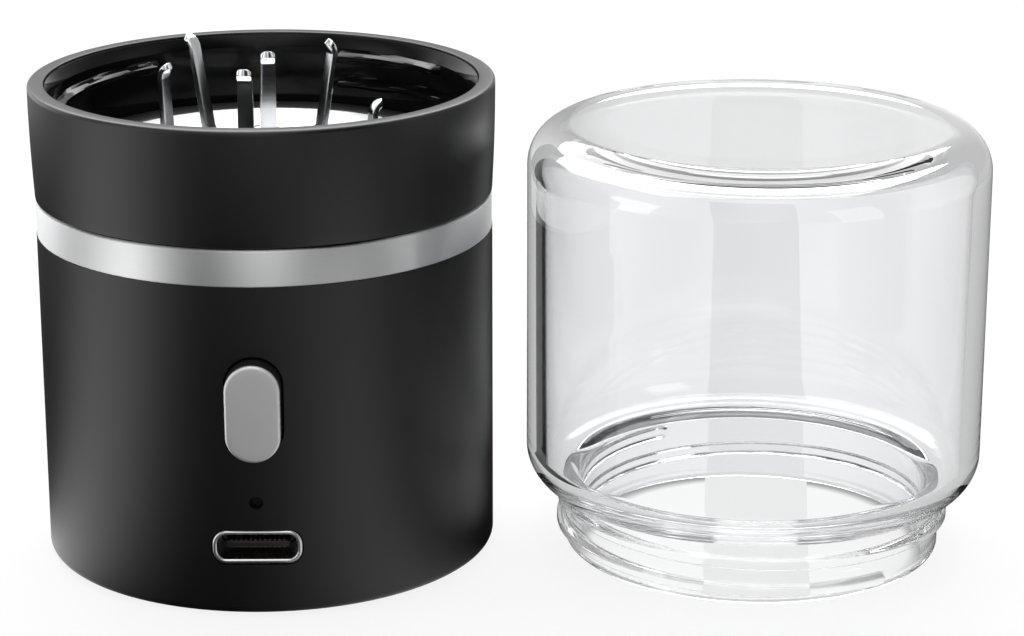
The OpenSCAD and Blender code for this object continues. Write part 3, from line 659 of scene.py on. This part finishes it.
class GRINDER_OT_socket(Piece, bpy.types.Operator):
    """Makes the socket's shell with its rolled mouth and its tongue, and gives the contacts their finish"""

    bl_idname = "grinder.socket"
    bl_label = "Socket"

    def execute(self, context):
        z, w, h, r = 7.85, 8.94, 3.26, 1.3  # height of its centre, width, height and corner of the shell
        mouth, back, wall = 24.45, 17.6, 0.3
        block, tip = back + 1.8, 23.5  # fronts of the plastic block and of the tongue on it
        shell = brushed("shell", (0.74, 0.74, 0.75, 1), 0.24, 0, 12000, 12000, 3e-6)
        # how far each ring stands out from the shell, and how far before the axis
        lip, mid, roll = 0.13, -0.055, 0.245
        rings = [(0, back), (0, mouth - 0.4), (lip, mouth - 0.4)]
        rings += [(lip + 0.06 * math.sin(a), mouth - 0.15) for a in (0.8, 1.57)]
        for k in range(9):
            a = k * math.pi / 8
            rings.append((mid + roll * math.cos(a), mouth - roll + roll * math.sin(a)))
        rings += [(-wall, mouth - 0.5), (-wall, back + 0.8)]
        rings = [front(slot(w, h, r, grow), z, depth) for grow, depth in rings]
        Form().skin(rings).piece("socket_shell", shell, "base", "usb_shell", slot="socket_steel", crease=50)
        black = grained("tongue", (0.006, 0.006, 0.006, 1), 0.45, 3000, 1e-5)
        tongue = [(0, block), (0, tip - 0.12), (-0.05, tip - 0.03), (-0.1, tip)]
        form = Form().skin([front(slot(8.24, 2.46, 1.0), z, depth) for depth in (back + 0.85, block)])
        form.skin([front(slot(6.69, 0.7, 0.12, grow, 3), z, depth) for grow, depth in tongue])
        form.piece("socket_tongue", black, "base", "usb_tongue", slot="tongue_plastic")
        dress(brushed("contacts", (0.83, 0.62, 0.28, 1), 0.2, 0, 9000, 9000, 2e-6), "usb_contacts")
        return {"FINISHED"}


# ---- foot and the works inside ----


class GRINDER_OT_works(Piece, bpy.types.Operator):
    """Gives the foot, the screws and everything inside the casing their finishes"""

    bl_idname = "grinder.works"
    bl_label = "Works"

    def execute(self, context):
        steel, copper = (0.62, 0.63, 0.65, 1), (0.80, 0.38, 0.22, 1)
        finishes = {
            "pad_rubber": grained("pad", (0.012, 0.012, 0.013, 1), 0.75, 3500, 4e-5, spread=0.12),
            "screw_steel": brushed("screws", (0.6, 0.6, 0.62, 1), 0.3, 3, 4000, 6000, 4e-6),
            "inner_plastic": grained("chassis", (0.03, 0.031, 0.034, 1), 0.5, 2500, 2e-5),
            "can_steel": brushed("can", steel, 0.33, 5, 6000, 2000, 4e-6),
            "magnet": grained("magnets", (0.05, 0.05, 0.055, 1), 0.55, 3000, 3e-5, spread=0.1),
            "end_cap_plastic": grained("end_cap", (0.72, 0.69, 0.6, 1), 0.45, 2500, 1e-5),
            "copper": brushed("copper", copper, 0.28, 2, 7000, 3000, 5e-6),
            "bush_bronze": brushed("bushes", (0.66, 0.42, 0.2, 1), 0.35, 4, 5000, 5000, 5e-6),
            "lead_plastic": grained("leads", (0.45, 0.02, 0.015, 1), 0.4, 3000, 5e-6),
            "cell_foil": grained("cell", (0.55, 0.56, 0.58, 1), 0.36, 700, 2e-5, metallic=0.7, spread=0.2),
            "board_green": grained("board", (0.012, 0.11, 0.04, 1), 0.35, 1800, 6e-6, coat=0.3),
            "chip_black": grained("chips", (0.015, 0.015, 0.016, 1), 0.5, 4000, 8e-6),
            "core_steel": brushed("core", (0.5, 0.5, 0.52, 1), 0.36, 0, 30000, 0, 1e-5),
        }
        for node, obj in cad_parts.items():
            made = finishes.get(obj.data.materials[0].name)
            if made:
                dress(made, node)
        return {"FINISHED"}


# ---- jar ----


class GRINDER_OT_jar(Piece, bpy.types.Operator):
    """Makes the glass jar as one clear form, with the bead of its thread drawn out of the neck"""

    bl_idname = "grinder.jar"
    bl_label = "Jar"

    def execute(self, context):
        glass = clear("glass", tuple(self.colours.glass), 1.48, 0.0, 70, 3e-5)
        bead, neck, bore = self.sizes.bead / MM, 20.7, 18.8
        body, inside = RIM, RIM - 2.0
        shoulder, inner_shoulder, under, top = 7.0, 9.0, 45.0, 47.5  # heights
        outer = rounded([(bore, 0.0, 0), (neck, 0.0, 0.8), (neck, shoulder, 0)], 8, loop=False)[1:-1]
        outer += [(neck, z) for z in levels(0.85, shoulder - 0.1, 0.12)]
        bends = [(neck, shoulder - 0.1, 0), (neck, shoulder, 0.12), (body, shoulder, 4.15), (body, top, 4.7)]
        outer += rounded(bends + [(0.0, top, 0)], 14, loop=False)[1:-1]
        bends = [(0.0, under, 0), (inside, under, 2.7), (inside, inner_shoulder, 2.4)]
        bends += [(bore, inner_shoulder, 1.7), (bore, 0.0, 0.8), (neck, 0.0, 0)]
        inner = rounded(bends, 12, loop=False)[1:-1]

        def with_bead(r, z, a):
            if abs(r - neck) > 1e-6:
                return r
            up = thread_rise(a, z, neck, start=117, top=6.0, sweep=549, crest=0.3, root=0.85)
            return r + bead * up

        # the last ring on each face of the closed end is small, and is closed by its own middle point
        radii = (1.0, 5.0, 10.0, 16.0)
        profile = [(r, under) for r in radii] + inner + outer + [(r, top) for r in reversed(radii)]
        form = Form().turn(profile, JAR_AT, loop=False, sides=320, radius=with_bead)
        form.piece("jar", glass, "jar", "glass_jar", slot="clear_glass", crease=60)
        return {"FINISHED"}


# ---- stage ----

FRAME, SENSOR = 1024, 36  # width of the render in pixels, and of the sensor in mm
FOCAL = 3058.3  # in pixels
CAMERA = (0.022288, -0.32112, 0.12443)  # in metres
YAW, PITCH_DOWN = 0.014, 0.300  # in radians
# the brightness that glossy surfaces mirror, by bearing in degrees: from the floor nearby, and from
# all that lies beyond it
LOW_CARDS = (
    (-180, 0.02), (-150, 0.02), (-125, 0.03), (-108, 0.15), (-94, 0.85), (-82, 1.6), (-68, 1.6), (-56, 1.1),
    (-46, 0.55), (-36, 0.22), (-24, 0.05), (-8, 0.05), (4, 0.15), (14, 0.38), (24, 0.66), (34, 0.92),
    (45, 0.94), (56, 0.6), (68, 0.2), (80, 0.02), (96, 0.01), (115, 0.01), (140, 0.02), (180, 0.02),
)
HIGH_CARDS = (
    (-180, 0.2), (-165, 0.8), (-146, 2.1), (-123, 2.1), (-110, 1.2), (-97, 0.6), (-86, 0.75), (-74, 1.7),
    (-62, 1.9), (-51, 1.3), (-40, 0.72), (-29, 0.45), (-19, 0.45), (-10, 1.0), (1, 1.4), (8, 1.25), (16, 0.6),
    (23, 0.15), (31, 0.0), (52, 0.0), (61, 0.2), (70, 1.0), (86, 1.2), (103, 0.6), (116, 0.5), (132, 0.6),
    (150, 0.6), (166, 1.2), (177, 1.2), (179.5, 0.2), (180, 0.2),
)


class GRINDER_OT_stage(Piece, bpy.types.Operator):
    """Lays the floor and sets the lights, the surroundings and the camera"""

    bl_idname = "grinder.stage"
    bl_label = "Stage"

    def lamp(self, name, place, aim, size, power, mirrored):
        light = bpy.data.lights.new(name, "AREA")
        light.shape, light.energy = "RECTANGLE", power
        light.size, light.size_y = size
        obj = bpy.data.objects.new(name, light)
        obj.location = place
        obj.rotation_euler = (Vector(aim) - Vector(place)).to_track_quat("-Z", "Y").to_euler()
        obj.visible_glossy = mirrored
        bpy.context.scene.collection.objects.link(obj)

    def rays(self, n):
        """Which rays are the camera's, which come out of glass and which are mirrored, and a function
        that dims a place to rays mirrored in the glass: most on the jar's right, given as 0 to 1."""
        seen, through, gloss, turns, walls = (
            n.add("ShaderNodeLightPath", out=kind)
            for kind in (
                "Is Camera Ray", "Is Transmission Ray", "Is Glossy Ray", "Glossy Depth", "Transmission Depth"
            )
        )
        turned = turns.clamped(0, 1)
        crossed = turned * walls.clamped(2, 4)  # these crossed both walls of the jar

        def dimmed(side, by=0.3, by_side=0.55):
            return 1 - turned * by - crossed * side * by_side

        return seen, through, gloss * (1 - through), dimmed

    def round_about(self, n, vector, cards):
        """Brightness by bearing: 0 is the front, -180 and 180 the back, and left is negative."""
        x, y, _ = n.axes(vector)
        bearing = x.maths("ARCTAN2", x, y * -1.0) / (2 * math.pi) + 0.5
        top = max(level for _, level in cards)  # a ramp's stops go up to 1
        stops = [(0.5 + angle / 360, level / top) for angle, level in cards]
        return n.add("ShaderNodeValToRGB", {"stops": stops}, {0: bearing}) * top

    def floor(self):
        """White to the camera with a share of plain paper, which takes the shadow. Rays out of the
        glass see it greyer in front of the jar and darker in a ring where the mouth stands, which is a
        painted contact shadow, and glossy surfaces mirror the low cards nearby and the high ones beyond."""
        paper_share, front_level, mouth_shadow_depth = 0.14, 0.6, 0.62
        material, n = finish("floor")
        seen, through, mirrored, dimmed = self.rays(n)
        own = n.add("ShaderNodeTexCoord", out="Object")
        tone = n.blend(n.noise(own, 12, 3), (0.86, 0.86, 0.86, 1), (0.9, 0.9, 0.9, 1))
        paper = n.add("ShaderNodeBsdfDiffuse", values={"Color": tone})
        x, y, _ = n.axes(own)
        dx, dy = x - JAR_AT[0] * MM, y - JAR_AT[1] * MM
        reach = (dx * dx + dy * dy) ** 0.5
        # painted shadow: a dark ring on the floor under the jar's mouth, a contact shadow that only rays out
        # of the glass see
        ring = reach.clamped(0.0175, 0.0190) * (1 - reach.clamped(0.0208, 0.0235))
        back = y.clamped(-0.09, -0.03) * (1 - front_level) + front_level
        glass = back * (1 - ring * mouth_shadow_depth) * dimmed(dx.clamped(0.028, 0.05))
        white = n.add("ShaderNodeEmission", values={"Strength": glass * through + seen})
        beyond = ((x * x + y * y) ** 0.5).clamped(0.2, 0.38)
        low, high = (self.round_about(n, own, cards) for cards in (LOW_CARDS, HIGH_CARDS))
        mirror = n.add("ShaderNodeEmission", values={"Strength": low * (1 - beyond) + high * beyond})
        lit = n.add("ShaderNodeMixShader", values={0: seen * (1 - paper_share) + through, 1: paper, 2: white})
        n.surface(n.add("ShaderNodeMixShader", values={0: mirrored, 1: lit, 2: mirror}))
        self.sheet("floor", [(-3, -3), (3, -3), (3, 3), (-3, 3)], -5e-5, material)

    def strip(self):
        """A grey strip on the floor, from under the jar to far behind it, that only rays out of the
        glass see."""
        material, n = finish("grey_card")
        n.surface(n.add("ShaderNodeEmission", values={"Strength": 0.88}))
        corners = [(0.0454, -0.04), (0.0558, -0.04), (0.1061, 0.43), (0.0803, 0.43)]
        card = self.sheet("grey_card", corners, -2e-5, material)
        for kind in ("camera", "diffuse", "glossy", "shadow", "volume_scatter"):
            setattr(card, "visible_" + kind, False)

    def surroundings(self):
        """White to the camera. Glossy surfaces mirror the high cards, and overhead a bright strip
        that falls off to the sides. Rays out of the glass see it greyer in front."""
        front_level, plain = 0.65, 0.45  # to rays out of the glass in front, and to matt surfaces
        world = bpy.data.worlds.new("surroundings")
        bpy.context.scene.world = world
        n = Nodes(world, "ShaderNodeOutputWorld")
        seen, through, mirrored, dimmed = self.rays(n)
        way = n.add("ShaderNodeTexCoord", out="Generated")
        x, y, z = n.axes(way)
        up = z.clamped(0.45, 0.9)
        overhead = 2.2 - x.maths("ABSOLUTE", x).clamped(0.16, 0.42) * 1.8  # 0.4 at the sides
        cards = self.round_about(n, way, HIGH_CARDS) * (1 - up) + up * overhead
        back = y.clamped(-0.15, 0.35) * (1 - front_level) + front_level
        glass = back * dimmed(x.clamped(0.35, 0.7))
        rest = 1 - seen - through - mirrored
        strength = seen + through * glass + mirrored * cards + rest * plain
        n.surface(n.add("ShaderNodeBackground", values={"Strength": strength}))

    def sheet(self, name, corners, z, material):
        mesh = bpy.data.meshes.new(name)
        mesh.from_pydata([(x, y, z) for x, y in corners], [], [(0, 1, 2, 3)])
        mesh.materials.append(material)
        obj = bpy.data.objects.new(name, mesh)
        bpy.context.scene.collection.objects.link(obj)
        return obj

    def execute(self, context):
        scene = bpy.context.scene
        scene.view_settings.view_transform = "Standard"
        scene.cycles.max_bounces = 32
        scene.cycles.transmission_bounces = 32
        scene.cycles.glossy_bounces = 16
        self.floor()
        self.strip()
        self.surroundings()
        self.lamp("left_box", (-0.52, -0.16, 0.16), (0, 0, 0.02), (0.30, 0.5), 1.6, mirrored=False)
        self.lamp("right_box", (0.40, -0.32, 0.14), (0, 0, 0.02), (0.20, 0.5), 0.7, mirrored=False)
        self.lamp("top_box", (0.0, 0.26, 0.46), (0.02, 0, 0.04), (0.62, 0.62), 5.0, mirrored=True)

        camera = bpy.data.cameras.new("camera")
        camera.sensor_fit, camera.sensor_width = "HORIZONTAL", SENSOR
        camera.lens = FOCAL * SENSOR / FRAME
        camera.clip_start = 0.01
        obj = bpy.data.objects.new("camera", camera)
        obj.location = CAMERA
        obj.rotation_euler = (math.pi / 2 - PITCH_DOWN, 0, -YAW)
        scene.collection.objects.link(obj)
        scene.camera = obj
        return {"FINISHED"}


PIECES = (
    GRINDER_OT_casing, GRINDER_OT_band, GRINDER_OT_bowl, GRINDER_OT_blades, GRINDER_OT_button,
    GRINDER_OT_socket, GRINDER_OT_works, GRINDER_OT_jar, GRINDER_OT_stage,
)


class GRINDER_PT_panel(bpy.types.Panel):
    """Lists the pieces and what may be changed"""

    bl_label = "Jar grinder"
    bl_idname = "GRINDER_PT_panel"
    bl_space_type = "VIEW_3D"
    bl_region_type = "UI"
    bl_category = "Grinder"

    def draw(self, context):
        for group in (context.scene.grinder_sizes, context.scene.grinder_colours):
            for name in group.__annotations__:
                self.layout.prop(group, name)
        for piece in PIECES:
            self.layout.operator(piece.bl_idname)


CLASSES = (GrinderSizes, GrinderColours, *PIECES, GRINDER_PT_panel)


def register():
    for cls in CLASSES:
        bpy.utils.register_class(cls)
    bpy.types.Scene.grinder_sizes = bpy.props.PointerProperty(type=GrinderSizes)
    bpy.types.Scene.grinder_colours = bpy.props.PointerProperty(type=GrinderColours)


def unregister():
    del bpy.types.Scene.grinder_colours, bpy.types.Scene.grinder_sizes
    for cls in reversed(CLASSES):
        bpy.utils.unregister_class(cls)


def main():
    register()
    for piece in PIECES:
        group, name = piece.bl_idname.split(".")
        getattr(getattr(bpy.ops, group), name)()


if __name__ == "__main__":
    main()
